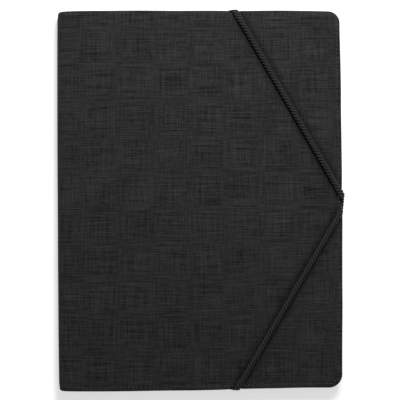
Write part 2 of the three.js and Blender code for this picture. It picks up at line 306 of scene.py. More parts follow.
class Nodes:
    """Short ways to add and join shader nodes in one material."""

    def __init__(self, name):
        self.material = bpy.data.materials.new(name)
        self.material.use_nodes = True
        self.tree = self.material.node_tree
        self.shader = self.tree.nodes["Principled BSDF"]

    def add(self, kind, **settings):
        node = self.tree.nodes.new(kind)
        for key, value in settings.items():
            setattr(node, key, value)
        return node

    def link(self, start, end):
        self.tree.links.new(start, end)

    def feed(self, socket, value):
        """Gives a socket a plain value or another node's output."""
        if isinstance(value, (tuple, int, float)):
            socket.default_value = value
        else:
            self.link(value, socket)

    def set(self, node, **values):
        for key, value in values.items():
            node.inputs[key.replace("_", " ")].default_value = value

    def position(self, attribute=None):
        """The place on the object, or what a mesh keeps under a name for each of its points."""
        if attribute is None:
            return self.add("ShaderNodeTexCoord").outputs["Object"]
        return self.add("ShaderNodeAttribute", attribute_name=attribute).outputs["Vector"]

    def split(self, source):
        """The three values of a place."""
        node = self.add("ShaderNodeSeparateXYZ")
        self.link(source, node.inputs[0])
        return node.outputs

    def scaled(self, source, scale, shift=(0, 0, 0)):
        node = self.add("ShaderNodeMapping")
        self.set(node, Scale=scale, Location=shift)
        self.link(source, node.inputs["Vector"])
        return node.outputs["Vector"]

    def noise(self, source, scale=1.0, detail=2.0, roughness=0.5):
        node = self.add("ShaderNodeTexNoise")
        self.set(node, Scale=scale, Detail=detail, Roughness=roughness)
        self.link(source, node.inputs["Vector"])
        return node.outputs["Fac"]

    def wave(self, source, direction, scale):
        node = self.add("ShaderNodeTexWave", wave_type="BANDS", bands_direction=direction)
        self.set(node, Scale=scale)
        self.link(source, node.inputs["Vector"])
        return node.outputs["Fac"]

    def math(self, operation, a, b=None):
        node = self.add("ShaderNodeMath", operation=operation)
        self.feed(node.inputs[0], a)
        if b is not None:
            self.feed(node.inputs[1], b)
        return node.outputs[0]

    def spread(self, source, low, high, to_low=0.0, to_high=1.0):
        """Maps low to high onto another range and stops at its ends."""
        node = self.add("ShaderNodeMapRange", clamp=True)
        self.set(node, From_Min=low, From_Max=high, To_Min=to_low, To_Max=to_high)
        self.link(source, node.inputs["Value"])
        return node.outputs["Result"]

    def mix(self, share, first, second):
        node = self.add("ShaderNodeMix", data_type="RGBA")
        factor, color_a, color_b = (node.inputs[number] for number in (0, 6, 7))
        self.feed(factor, share)
        self.feed(color_a, first)
        self.feed(color_b, second)
        return node.outputs[2]

    def bump(self, height, strength, distance):
        node = self.add("ShaderNodeBump")
        self.set(node, Strength=strength, Distance=distance * MM)
        self.link(height, node.inputs["Height"])
        self.link(node.outputs["Normal"], self.shader.inputs["Normal"])

    def finish(self, color, roughness):
        self.feed(self.shader.inputs["Base Color"], color)
        self.feed(self.shader.inputs["Roughness"], roughness)
        return self.material


def grey(level, tint=(1.0, 1.0, 1.0)):
    """A colour from an 8-bit screen level, in the linear values that Blender reads."""
    value = level / 255
    linear = value / 12.92 if value <= 0.04045 else ((value + 0.055) / 1.055) ** 2.4
    return (linear * tint[0], linear * tint[1], linear * tint[2], 1.0)


def slub_streaks(nodes, flat, along, thread, length, seed):
    """Thick and thin places in the yarn: narrow streaks, as wide as a thread and as long as length."""
    scale = (1 / length, 1 / thread, 1) if along == "X" else (1 / thread, 1 / length, 1)
    shift = (seed * STREAK_STEP[0], seed * STREAK_STEP[1], 0)
    return nodes.noise(nodes.scaled(flat, scale, shift), 1.0, 2.5, 0.6)


def clouds(nodes, flat, size, detail, roughness):
    """Slow changes of tone, about that size in millimetres."""
    return nodes.noise(nodes.scaled(flat, (1 / size, 1 / size, 1)), 1.0, detail, roughness)


def cover_cloth():
    """Heathered cloth in a plain weave, with a painted shadow beside the cords."""
    nodes = Nodes("heathered_cover_cloth")
    flat = nodes.position("flat")
    tone = 0.0
    for seed, (along, thread, length, share) in enumerate(STREAKS, 1):
        yarn = slub_streaks(nodes, flat, along, thread, length, seed)
        tone = nodes.math("ADD", tone, nodes.math("MULTIPLY", yarn, share))
    cloudy = clouds(nodes, flat, CLOUD_SIZE, 2.0, 0.5)
    tone = nodes.math("ADD", tone, nodes.math("MULTIPLY", cloudy, CLOUD_SHARE))
    dark_yarn = grey(14)
    light_yarn = grey(64, (1.0, 1.0, 1.01))
    color = nodes.mix(nodes.spread(tone, 0.41, 0.60), dark_yarn, light_yarn)
    # Painted shadow beside the cords: the colour goes towards near-black grey(2) by the pressed share.
    painted_cord_shadow = nodes.split(nodes.position("pressed"))["X"]
    color = nodes.mix(painted_cord_shadow, color, grey(2))
    warp_threads = nodes.wave(flat, "X", 1 / COVER_THREAD)
    weft_threads = nodes.wave(flat, "Y", 1 / COVER_THREAD)
    weave = nodes.math("MULTIPLY", warp_threads, weft_threads)
    height = nodes.math("ADD", nodes.math("MULTIPLY", weave, 0.5), nodes.math("MULTIPLY", tone, 1.2))
    nodes.bump(height, 0.5, 0.18)
    nodes.set(nodes.shader, Specular_IOR_Level=0.18, Sheen_Weight=0.12, Sheen_Roughness=0.5)
    return nodes.finish(color, 0.9)


def lining_cloth():
    """Smooth, tightly woven dark cloth with a slight sheen."""
    nodes = Nodes("dark_lining_cloth")
    flat = nodes.position("flat")
    warp_threads = nodes.wave(flat, "X", 1 / LINING_THREAD)
    weft_threads = nodes.wave(flat, "Y", 1 / LINING_THREAD)
    threads = nodes.math("ADD", warp_threads, weft_threads)
    cloudy = clouds(nodes, flat, LINING_CLOUD_SIZE, 3.0, 0.55)
    dark = grey(27, (1, 1, 1.04))
    light = grey(35, (1, 1, 1.05))
    color = nodes.mix(nodes.spread(cloudy, 0.35, 0.65), dark, light)
    nodes.bump(nodes.math("ADD", threads, cloudy), 0.4, 0.1)
    nodes.set(nodes.shader, Specular_IOR_Level=0.3, Sheen_Weight=0.08)
    return nodes.finish(color, nodes.spread(cloudy, 0.3, 0.7, 0.62, 0.78))


def elastic_cloth():
    """Yarns laid along each ply of the cord, or along a woven band. The third value of the flat place
    is the distance from the cord's middle, which is small down between the plies. There the colour
    goes towards near-black grey(5): painted shade in the grooves between the plies."""
    nodes = Nodes("woven_elastic")
    flat = nodes.position("flat")
    crown_outside_painted_shade = nodes.spread(nodes.split(flat)["Z"], 1.5, 2.3)
    yarns = nodes.wave(flat, "Y", 1 / ELASTIC_THREAD)
    grain = nodes.noise(nodes.scaled(flat, (1 / 0.9, 1 / 0.25, 1)), 1.0, 3.0, 0.6)
    yarn_color = nodes.mix(nodes.spread(grain, 0.3, 0.7), grey(30), grey(50))
    # Painted shade: near-black down between the plies, full yarn colour on the plies' crowns.
    color = nodes.mix(crown_outside_painted_shade, grey(5), yarn_color)
    height = nodes.math("ADD", nodes.math("MULTIPLY", yarns, 0.6), nodes.math("MULTIPLY", grain, 0.7))
    nodes.bump(height, 0.5, 0.15)
    nodes.set(nodes.shader, Specular_IOR_Level=0.3, Sheen_Weight=0.1)
    return nodes.finish(color, nodes.spread(grain, 0.2, 0.8, 0.55, 0.75))


def sewing_thread():
    """Thread painted light grey, a painted highlight, in the middle of each stitch and painted near-black
    at its ends, painted shade in its needle holes. The first value of the flat place is 0 in the middle of
    a stitch and 1 at its ends."""
    nodes = Nodes("thread_with_painted_highlight_and_shade")
    sunk = nodes.spread(nodes.split(nodes.position("flat"))["X"], 0.35, 0.8)
    twist = nodes.noise(nodes.scaled(nodes.position(), (2400, 2400, 2400)), 1.0, 2.0)
    nodes.bump(twist, 0.4, 0.08)
    # Painted highlight: the thread's light grey. Painted shade: near-black at the ends of each stitch.
    painted_highlight_strand = nodes.mix(nodes.spread(twist, 0.3, 0.7), grey(54), grey(76))
    color = nodes.mix(sunk, painted_highlight_strand, grey(4))
    nodes.set(nodes.shader, Specular_IOR_Level=0.25)
    return nodes.finish(color, 0.6)


def grey_board():
    """Pressed grey board with paper fibres and flecks."""
    nodes = Nodes("grey_board")
    spot = nodes.position()
    fibres = nodes.noise(nodes.scaled(spot, (900, 900, 900)), 1.0, 4.0, 0.6)
    flecks = nodes.noise(nodes.scaled(spot, (260, 260, 260)), 1.0, 2.0)
    dark = grey(134, (1.0, 0.95, 0.86))
    light = grey(150, (1.0, 0.96, 0.88))
    color = nodes.mix(nodes.spread(flecks, 0.4, 0.7), dark, light)
    nodes.bump(fibres, 0.35, 0.12)
    return nodes.finish(color, 0.92)


def binding_tape():
    """Grained tape over the head of the pad."""
    nodes = Nodes("grained_binding_tape")
    spot = nodes.position()
    grain = nodes.noise(nodes.scaled(spot, (1500, 1500, 1500)), 1.0, 3.0, 0.6)
    dark = grey(30, (1, 1, 1.15))
    light = grey(42, (1, 1, 1.15))
    color = nodes.mix(nodes.spread(grain, 0.35, 0.65), dark, light)
    nodes.bump(grain, 0.4, 0.1)
    return nodes.finish(color, nodes.spread(grain, 0.2, 0.8, 0.45, 0.65))


def ruled_paper():
    """Off-white paper with plain feint rules, one upright margin and a faint tooth.
    The third value of the flat place is 1 on the top of the pad and 0 elsewhere."""
    nodes = Nodes("ruled_paper")
    flat = nodes.position("flat")
    x, y, face = nodes.split(flat)
    on_top = nodes.math("GREATER_THAN", face, 0.5)
    phase = nodes.math("FRACT", nodes.math("DIVIDE", y, RULE_PITCH))
    on_rule = nodes.math("LESS_THAN", phase, RULE_SHARE)
    below_head = nodes.math("LESS_THAN", y, RULES_TOP)
    above_tail = nodes.math("GREATER_THAN", y, RULES_BOTTOM)
    ruled = nodes.math("MULTIPLY", nodes.math("MULTIPLY", below_head, above_tail), on_top)
    rule = nodes.math("MULTIPLY", on_rule, ruled)
    from_margin = nodes.math("ABSOLUTE", nodes.math("SUBTRACT", x, MARGIN_X))
    margin = nodes.math("MULTIPLY", nodes.math("LESS_THAN", from_margin, MARGIN_HALF_WIDTH), on_top)
    tooth = nodes.noise(nodes.scaled(flat, (2.5, 2.5, 2.5)), 1.0, 4.0, 0.6)
    dull = grey(238, (1, 0.985, 0.93))
    bright = grey(245, (1, 0.99, 0.945))
    paper = nodes.mix(nodes.spread(tooth, 0.3, 0.7), dull, bright)
    color = nodes.mix(rule, paper, grey(170, (0.86, 0.98, 1.12)))
    color = nodes.mix(margin, color, grey(178, (1.18, 0.72, 0.72)))
    nodes.bump(tooth, 0.2, 0.05)
    return nodes.finish(color, 0.88)


MATERIALS = {
    "cloth": cover_cloth(),
    "lining": lining_cloth(),
    "elastic": elastic_cloth(),
    "thread": sewing_thread(),
    "board": grey_board(),
    "tape": binding_tape(),
    "paper": ruled_paper(),
}


# Covers

def strand_ends(cord):
    """Where a cord's line over the front, slid along by CORD_DRIFT, meets the two bowed edges."""
    start = np.array([cord["end_x"] + CORD_DRIFT, cord["end"] * HALF_HEIGHT, 0.0])
    end = np.array([HALF_WIDTH + CORD_DRIFT, cord["fore_y"], 0.0])
    along = unit(end - start)
    head_bow = abs(bowed(start)[1]) - HALF_HEIGHT
    fore_bow = bowed(np.array([HALF_WIDTH, cord["fore_y"], 0.0]))[0] - HALF_WIDTH
    start = start - along * head_bow / abs(along[1])
    end = end + along * (fore_bow - CORD_DRIFT) / along[0]
    return start[:2], end[:2]


def strand_direction(cord):
    start, end = strand_ends(cord)
    return (end - start) / np.linalg.norm(end - start)


def distance_to_strand(x, y, cord):
    start, end = strand_ends(cord)
    run = end - start
    moved = bowed(np.stack(np.broadcast_arrays(x, y, 0.0), -1))
    from_x, from_y = moved[..., 0] - start[0], moved[..., 1] - start[1]
    share = np.clip((from_x * run[0] + from_y * run[1]) / (run @ run), 0, 1)
    return np.hypot(from_x - share * run[0], from_y - share * run[1])


def bowed(points):
    """The slight outward bow of the four edges."""
    moved = np.array(points, float)
    x, y = points[..., 0], points[..., 1]
    across = 1 - (y / HALF_HEIGHT) ** 2
    along = 1 - np.clip(x / HALF_WIDTH, -1, 1) ** BOW_POWER
    moved[..., 0] += FORE_EDGE_BOW * across * smooth(BOW_START, HALF_WIDTH, x)
    to_spine = smooth(-BOW_START, -HALF_WIDTH, x)
    moved[..., 0] -= SPINE_BOW * across * to_spine
    moved[..., 0] -= SPINE_TAIL_DRIFT * smooth(0, -HALF_HEIGHT, y) * to_spine
    moved[..., 1] += HEAD_BOW * along * smooth(BOW_START, HALF_HEIGHT, y)
    tail_bow = TAIL_BOW * along * smooth(TAIL_BOW_START, TAIL_BOW_FULL, x)
    moved[..., 1] -= tail_bow * smooth(-BOW_START, -HALF_HEIGHT, y)
    return moved


def place(x, y, depth, side):
    """A point of a cover's cloth. x runs from the fore-edge, over the roll, to the middle of the spine."""
    past = np.maximum(ROLL_X - x, 0)
    angle = np.minimum(past / ROLL_RADIUS, math.pi / 2)
    down = np.maximum(past - ROLL_RADIUS * math.pi / 2, 0)
    radius = ROLL_RADIUS - depth
    px = np.where(x >= ROLL_X, x, ROLL_X - radius * np.sin(angle))
    pz = THICKNESS - ROLL_RADIUS + radius * np.cos(angle) - down
    if side == "back":
        pz = THICKNESS - pz
    return bowed(np.stack(np.broadcast_arrays(px, y, pz), -1))


def outer_relief(x, y, side):
    """How far the cloth's outer face lies under its nominal plane."""
    sunk = smooth(SPINE_DIP_START, SPINE_DIP_FULL, x)
    risen = smooth(SPINE_DIP_BACK, SPINE_DIP_END, x)
    relief = SPINE_DIP * sunk * (1 - risen)
    relief = relief + FACE_WAVE * waves(x, y, FACE_SEEDS[side], FACE_WAVE_LENGTH)
    if side == "front":
        for cord in CORDS.values():
            relief = relief + CORD_GROOVE * near(distance_to_strand(x, y, cord), CORD_GROOVE_REACH)
    return relief * smooth(SPINE_MIDDLE, RELIEF_FULL_X, x)


def painted_cord_shadow_share(x, y):
    """How much painted shadow beside the cords darkens the front cloth at each place."""
    total = np.zeros(np.shape(x))
    for cord in CORDS.values():
        total = np.maximum(total, CORD_SHADOW_SHARE * near(distance_to_strand(x, y, cord), CORD_SHADOW_REACH))
    return total


def edge_dents(side):
    """Where the cords pull the edges in: the edge, its end, the place along it and how deep."""
    dents = []
    climb = THICKNESS - CORD_SEAM_HEIGHT
    share = DENT_SHARES[side]
    for cord in CORDS.values():
        start, finish = strand_ends(cord)
        direction = strand_direction(cord)
        end_drift = direction[0] / abs(direction[1])
        fore_drift = direction[1] / direction[0]
        end_dent = CORD_WALL_THICKNESS - CORD_END_PROUD
        dents.append(("end", cord["end"], start[0] - climb * end_drift * share, end_dent))
        dents.append(("fore", 0, finish[1] + climb * fore_drift * share, cord["fore_dent"]))
    return dents


def outline_columns():
    """The cover's free outline in order: head edge, corner, fore-edge, corner, tail edge.
    Each column has a point on the outline and the point that it runs in to."""
    inner_x = HALF_WIDTH - BORDER
    inner_y = HALF_HEIGHT - BORDER
    head_x = np.concatenate([roll_grid(), edge_grid(ROLL_X, inner_x)[1:]])
    fore_y = edge_grid(inner_y, -inner_y)
    outer, inner = [], []
    for x in head_x:
        outer.append((x, HALF_HEIGHT))
        inner.append((x, inner_y))
    for x, y in corner_points(HEAD_CORNER_RADIUS)[1:-1]:
        outer.append((x, y))
        inner.append((inner_x, inner_y))
    for y in fore_y:
        outer.append((HALF_WIDTH, y))
        inner.append((inner_x, y))
    for x, y in corner_points(TAIL_CORNER_RADIUS)[::-1][1:-1]:
        outer.append((x, -y))
        inner.append((inner_x, -inner_y))
    for x in head_x[::-1]:
        outer.append((x, -HALF_HEIGHT))
        inner.append((x, -inner_y))
    return np.array(outer), np.array(inner), head_x, fore_y


def roll_grid():
    return np.linspace(SPINE_MIDDLE, ROLL_X, ROLL_POINTS)


def edge_grid(start, end):
    """Evenly spaced lines, about EDGE_GRID apart."""
    return np.linspace(start, end, int(round(abs(end - start) / EDGE_GRID)) + 1)


def corner_points(radius):
    """From the head edge round the corner to the fore-edge, evenly spaced."""
    straight = BORDER - radius
    length = 2 * straight + radius * math.pi / 2
    points = []
    for step in range(CORNER_STEPS + 1):
        run = length * step / CORNER_STEPS
        if run <= straight:
            points.append((HALF_WIDTH - BORDER + run, HALF_HEIGHT))
        elif run <= straight + radius * math.pi / 2:
            angle = (run - straight) / radius
            points.append((
                HALF_WIDTH - radius + radius * math.sin(angle),
                HALF_HEIGHT - radius + radius * math.cos(angle),
            ))
        else:
            points.append((HALF_WIDTH, HALF_HEIGHT - BORDER + length - run))
    return points


def edge_pull(side, outer, dents):
    """How far the outline is drawn in at each of its points, by uneven cloth and by the cords."""
    pull = EDGE_WAVE * waves(outer[:, 0], outer[:, 1], EDGE_SEEDS[side], EDGE_WAVE_LENGTH)
    on_end = np.isclose(np.abs(outer[:, 1]), HALF_HEIGHT)
    on_fore = np.isclose(outer[:, 0], HALF_WIDTH)
    for edge, end, middle, deep in dents:
        if edge == "end":
            here = on_end & (np.sign(outer[:, 1]) == end)
            pull += deep * near(outer[:, 0] - middle, END_DENT_REACH) * here
        else:
            pull += deep * near(outer[:, 1] - middle, FORE_DENT_REACH) * on_fore
    return pull


def shell(name, side, rows, top_depth, under_depth, material, relief=None, dents=(), rise=0.0):
    """A thin closed shell over one cover and half of the spine.
    rows are (inset, depth, share of relief) round the edge, from the outer face to the hidden one."""
    outer, inner, grid_x, grid_y = outline_columns()
    span = np.linalg.norm(inner - outer, axis=1)
    direction = (inner - outer) / span[:, None]
    pull = edge_pull(side, outer, dents)
    points, flats, faces = [], [], []

    def depth_at(x, y, base, share):
        extra = relief(x, y, side) * share if relief is not None and share > 0 else 0.0
        risen = rise * smooth(ROLL_X + LINING_RISE_START, ROLL_X - LINING_RISE_FULL, x)
        return base - risen + extra

    def add_points(x, y, depth, share):
        points.append(place(x, y, depth_at(x, y, depth, share), side).reshape(-1, 3))
        flats.append(np.column_stack([x.ravel(), y.ravel(), np.full(x.size, float(depth))]))

    count = len(outer)
    for inset, depth, share in rows:
        fade = 1 - smooth(0, BORDER, np.full(count, float(inset)))
        travel = inset / BORDER * span + pull * fade
        flat = outer + direction * travel[:, None]
        add_points(flat[:, 0], flat[:, 1], depth, share)
    for row in range(len(rows) - 1):
        for column in range(count - 1):
            a = row * count + column
            faces.append((a, a + 1, a + count + 1, a + count))
    start = len(rows) * count
    grid = np.meshgrid(grid_x, grid_y[::-1], indexing="ij")
    wide, tall = grid[0].shape
    for layer, (depth, share) in enumerate(((top_depth, 1.0), (under_depth, 0.0))):
        add_points(*grid, depth, share)
        offset = start + layer * wide * tall
        for i in range(wide - 1):
            for j in range(tall - 1):
                a = offset + i * tall + j
                quad = (a, a + tall, a + tall + 1, a + 1)
                faces.append(quad if layer == 0 else quad[::-1])
    size = wide * tall
    for a in range(start, start + tall - 1):
        faces.append((a, a + 1, a + size + 1, a + size))
    ring = [row * count for row in range(len(rows))]
    faces.append(tuple(ring))
    faces.append(tuple(first + count - 1 for first in ring)[::-1])
    flats = np.concatenate(flats)
    # The pressed attribute holds the share of painted shadow beside the cords, on the front's outer cloth.
    pressed = np.zeros_like(flats)
    if relief is not None and side == "front":
        pressed[:, 0] = painted_cord_shadow_share(flats[:, 0], flats[:, 1])
    attributes = {"flat": flats, "pressed": pressed}
    piece = make_object(name, np.concatenate(points), faces, material, attributes)
    weld(piece)
    return piece


def weld(piece, distance=0.02):
    """Joins the points that lie on each other and turns all faces outward."""
    work = bmesh.new()
    work.from_mesh(piece.data)
    bmesh.ops.remove_doubles(work, verts=work.verts, dist=distance * MM)
    bmesh.ops.recalc_face_normals(work, faces=work.faces)
    work.to_mesh(piece.data)
    work.free()
    piece.data.shade_smooth()
    piece.data.set_sharp_from_angle(angle=math.radians(WELDED_SHARP_ANGLE))


def tube_faces(base, rings, sides):
    """Faces of a tube of rings, closed at both ends."""
    faces = []
    for ring in range(rings - 1):
        for k in range(sides):
            a = base + ring * sides + k
            b = base + ring * sides + (k + 1) % sides
            faces.append((a, b, b + sides, a + sides))
    faces.append(tuple(base + k for k in range(sides))[::-1])
    faces.append(tuple(base + (rings - 1) * sides + k for k in range(sides)))
    return faces


def outer_rows():
    """Round the edge of the outer cloth: down into the seam, over the hem, and in under the board."""
    skin = [
        (BORDER, 0.0, 1.0), (9.5, 0.0, 1.0), (7.6, 0.02, 1.0), (6.2, 0.06, 0.9),
        (5.2, 0.12, 0.8), (4.4, 0.20, 0.7), (3.8, 0.32, 0.6), (STITCH_INSET, STITCH_GROOVE, 0.5),
        (2.8, 0.34, 0.4), (2.2, 0.34, 0.3), (1.6, 0.46, 0.2), (1.0, 0.68, 0.1),
        (0.5, 0.98, 0.0), (0.15, 1.38, 0.0), (0.0, 1.8, 0.0), (0.05, 2.2, 0.0),
        (0.35, 2.65, 0.0), (0.9, 2.95, 0.0), (1.8, HEM_DEPTH, 0.0), (HEM_WIDTH, HEM_DEPTH, 0.0),
    ]
    hidden = [
        (HEM_WIDTH, 2.5, 0.0), (1.8, 2.3, 0.0), (1.1, 1.9, 0.0), (1.3, 1.6, 0.0), (2.2, 1.45, 0.3),
        (STITCH_INSET, 1.45, 0.5), (4.6, 1.25, 0.8), (6.2, 0.95, 0.0),
        (BORDER, CLOTH_THICKNESS + CLOTH_TO_BOARD, 0.0),
    ]
    return skin + hidden


def lining_rows():
    """Round the edge of the lining: its hidden face, a soft rim and the sewn groove."""
    face = LINING_DEPTH + LINING_THICKNESS
    return [
        (BORDER, LINING_DEPTH, 0.0), (LINING_INSET + 0.15, LINING_DEPTH, 0.0),
        (LINING_INSET, LINING_DEPTH + 0.1, 0.0), (LINING_INSET, face - 0.1, 0.0),
        (LINING_INSET + 0.2, face, 0.0), (2.6, face, 0.0), (STITCH_INSET, face - INNER_GROOVE, 0.0),
        (4.0, face, 0.0), (5.5, face, 0.0), (BORDER, face, 0.0),
    ]


def cover_seam():
    """The three sewn sides of a cover, as a flat path from the roll at the head to the roll at the tail."""
    right = HALF_WIDTH - STITCH_INSET
    top = HALF_HEIGHT - STITCH_INSET
    path = [(ROLL_X, top)]
    turn = np.linspace(0, math.pi / 2, SEAM_TURN_POINTS)
    for corner_radius, sign in ((HEAD_CORNER_RADIUS, 1), (TAIL_CORNER_RADIUS, -1)):
        radius = corner_radius - STITCH_INSET
        arc_x = right - radius + radius * np.sin(turn)
        arc_y = (top - radius + radius * np.cos(turn)) * sign
        path.extend(list(zip(arc_x, arc_y))[::sign])
    path.append((ROLL_X, -top))
    return path


def stitches(name, path, put, seed):
    """A short capsule of thread for each stitch of a path. put places a flat point at a lift."""
    path = np.array(path, float)
    lengths = np.concatenate([[0], np.cumsum(np.linalg.norm(np.diff(path, axis=0), axis=1))])
    around = np.arange(STITCH_SIDES) * 2 * math.pi / STITCH_SIDES
    draw = np.random.default_rng(seed)
    points, flats, faces = [], [], []

    def flat_at(run):
        return np.array([np.interp(run, lengths, path[:, 0]), np.interp(run, lengths, path[:, 1])])

    for number in range(int(lengths[-1] / STITCH_PITCH)):
        middle = (number + 0.5) * STITCH_PITCH + draw.uniform(-STITCH_UNEVEN, STITCH_UNEVEN)
        tilt = draw.uniform(-STITCH_UNEVEN, STITCH_UNEVEN)
        faces.extend(tube_faces(len(points) * STITCH_SIDES, STITCH_RINGS, STITCH_SIDES))
        for along in np.linspace(-1, 1, STITCH_RINGS):
            run = middle + along * STITCH_LENGTH / 2
            here = flat_at(run)
            ahead = unit(flat_at(run + 0.3) - flat_at(run - 0.3))
            normal = np.array([-ahead[1], ahead[0]])
            swell = THREAD_RADIUS * math.sqrt(max(1 - along ** 4, 0.04))
            # The first flat value, 0 in the middle and 1 at the ends, places the thread's painted highlight
            # and painted shade.
            flats.extend([(abs(along), 0.0, 0.0)] * STITCH_SIDES)
            off = tilt * along + swell * np.cos(around)
            lift = THREAD_RADIUS * (STITCH_RISE - STITCH_SINK * along ** 2) + swell * np.sin(around)
            points.append(put(here[0] + normal[0] * off, here[1] + normal[1] * off, lift))
    piece = make_object(name, np.concatenate(points), faces, MATERIALS["thread"], {"flat": flats})
    weld(piece, 0.001)
    return piece


def fold_line(side):
    """Start and end of the bend between a cover and the spine."""
    high = THICKNESS if side == "front" else 0.0
    down = -1 if side == "front" else 1
    start = Vector((ROLL_X, 0, high)) * MM
    end = Vector((ROLL_X - ROLL_RADIUS, 0, high + down * ROLL_RADIUS)) * MM
    return start, end


def make_covers():
    """Outer cloth, lining and seams of both covers."""
    for side, body in (("front", "front_cover"), ("back", "back_cover")):
        start, end = fold_line(side)
        cloth = shell(
            f"{side}_cloth", side, outer_rows(), 0.0, CLOTH_THICKNESS + CLOTH_TO_BOARD,
            MATERIALS["cloth"], outer_relief, edge_dents(side),
        )
        lining = shell(
            f"{side}_lining_cloth", side, lining_rows(), LINING_DEPTH, LINING_DEPTH + LINING_THICKNESS,
            MATERIALS["lining"], rise=SPINE_LINING_RISE,
        )
        replaced = {"front": ("front", "spine"), "back": ("back",)}[side]
        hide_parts(*[f"{part}_outer_fabric" for part in replaced])
        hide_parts(*[f"{part}_lining" for part in replaced])
        for piece in (cloth, lining):
            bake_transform(piece)
            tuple(start)
            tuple(end)

        def outside(x, y, lift, side=side):
            relief = SEAM_RELIEF_SHARE * outer_relief(x, y, side)
            return place(x, y, STITCH_GROOVE + relief - lift, side)

        def inside(x, y, lift, side=side):
            return place(x, y, LINING_DEPTH + LINING_THICKNESS - INNER_GROOVE + lift, side)

        for face, put in (("outer", outside), ("inner", inside)):
            seam = stitches(f"{side}_{face}_stitches", cover_seam(), put, STITCH_SEEDS[side])
            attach(seam, body)


# Elastic cords

def cord_corners(cord):
    """The corners of one cord's centre line, along the solid's route: place, bend and section."""
    end, proud = cord["end"], cord["proud"]
    start, finish = strand_ends(cord)
    end_x, fore_y = start[0], finish[1]
    length = float(np.linalg.norm(finish - start))
    along = strand_direction(cord)
    end_drift = along[0] / abs(along[1])
    fore_drift = along[1] / along[0]
    climb = THICKNESS - CORD_SEAM_HEIGHT
    end_wall = start[1] + end * (CORD_END_PROUD - CORD_WALL_THICKNESS / 2)
    fore_thickness = CORD_WALL_THICKNESS * cord["swell"]
    fore_wall = finish[0] + proud - fore_thickness / 2
    low_x = end_x - climb * end_drift
    low_y = fore_y + climb * fore_drift
    edge_height = THICKNESS + CORD_WALL_THICKNESS / 2
    seam = (CORD_SEAM_WIDTH, CORD_SEAM_THICKNESS, (0, 0, -1))
    climbing = (CORD_WALL_WIDTH, CORD_WALL_THICKNESS, (0, end, 0))
    on_edge = (CORD_WALL_WIDTH, CORD_WALL_THICKNESS, (0, 0, 1))
    pressed = (CORD_PRESSED_WIDTH, CORD_PRESSED_THICKNESS, (0, 0, 1))
    whole = (CORD_DIAMETER, CORD_DIAMETER, (0, 0, 1))
    descending = (CORD_WALL_WIDTH, fore_thickness, (1, 0, 0))

    def on_front(distance, form):
        x, y = start + along * distance
        return (x, y, THICKNESS - CORD_SINK + form[1] / 2), 0.0, form

    return [
        ((low_x, end * (HALF_HEIGHT - CORD_SEAM_DEPTH), CORD_SEAM_HEIGHT), 0.0, seam),
        ((low_x, end_wall, CORD_SEAM_HEIGHT), CORD_SEAM_BEND, climbing),
        ((end_x, end_wall, edge_height), CORD_EDGE_BEND, on_edge),
        on_front(CORD_PRESSED_LENGTH, pressed),
        on_front(CORD_ROUND_FROM, whole),
        on_front(length - CORD_ROUND_FROM, whole),
        on_front(length - CORD_PRESSED_LENGTH, pressed),
        ((fore_wall, fore_y, edge_height), CORD_EDGE_BEND, descending),
        ((fore_wall, low_y, CORD_SEAM_HEIGHT), CORD_SEAM_BEND, seam),
        ((HALF_WIDTH - CORD_SEAM_DEPTH, low_y, CORD_SEAM_HEIGHT), 0.0, seam),
    ]


def cord_line(corners):
    """Even steps along the rounded centre line: centre, facing, width, thickness and run."""
    places = [np.array(corner[0], float) for corner in corners]
    centres, facings, widths, thicknesses = [], [], [], []
    for number, (_, bend, (width, thickness, facing)) in enumerate(corners):
        here = places[number]
        before = places[max(number - 1, 0)]
        after = places[min(number + 1, len(places) - 1)]
        incoming = unit(here - before)
        outgoing = unit(after - here)
        steps = CORD_BEND_STEPS if bend > 0 else 0
        turn = math.acos(np.clip(incoming @ outgoing, -1, 1))
        reach = bend * math.tan(turn / 2) if bend > 0 else 0.0
        old_facing = np.array(corners[max(number - 1, 0)][2][2], float)
        for step in range(steps + 1):
            mix = step / steps if steps else 0.5
            start = here - incoming * reach
            finish = here + outgoing * reach
            centres.append(start * (1 - mix) ** 2 + here * 2 * mix * (1 - mix) + finish * mix ** 2)
            facings.append(unit(old_facing * (1 - mix) + np.array(facing, float) * mix))
            widths.append(width)
            thicknesses.append(thickness)
    centres = np.array(centres)
    run = np.concatenate([[0], np.cumsum(np.linalg.norm(np.diff(centres, axis=0), axis=1))])
    even = np.arange(0, run[-1], CORD_STEP)

    def resample(values):
        values = np.array(values, float)
        if values.ndim == 1:
            return np.interp(even, run, values)
        return np.column_stack([np.interp(even, run, values[:, k]) for k in range(values.shape[1])])

    return resample(centres), resample(facings), resample(widths), resample(thicknesses), even


def ply_outline(angle):
    """Radius of a twisted cord's section: round plies side by side, in a circle of the cord's size."""
    reach = CORD_DIAMETER / 2 - PLY_RADIUS
    sector = 2 * math.pi / TWIST_PLIES
    local = np.mod(angle + sector / 2, sector) - sector / 2
    return reach * np.cos(local) + np.sqrt(PLY_RADIUS ** 2 - (reach * np.sin(local)) ** 2)


def settle(values, times):
    """Softens the steps between corners."""
    for _ in range(times):
        inside = (values[:-2] + 2 * values[1:-1] + values[2:]) / 4
        values = np.concatenate([values[:1], inside, values[-1:]])
    return values


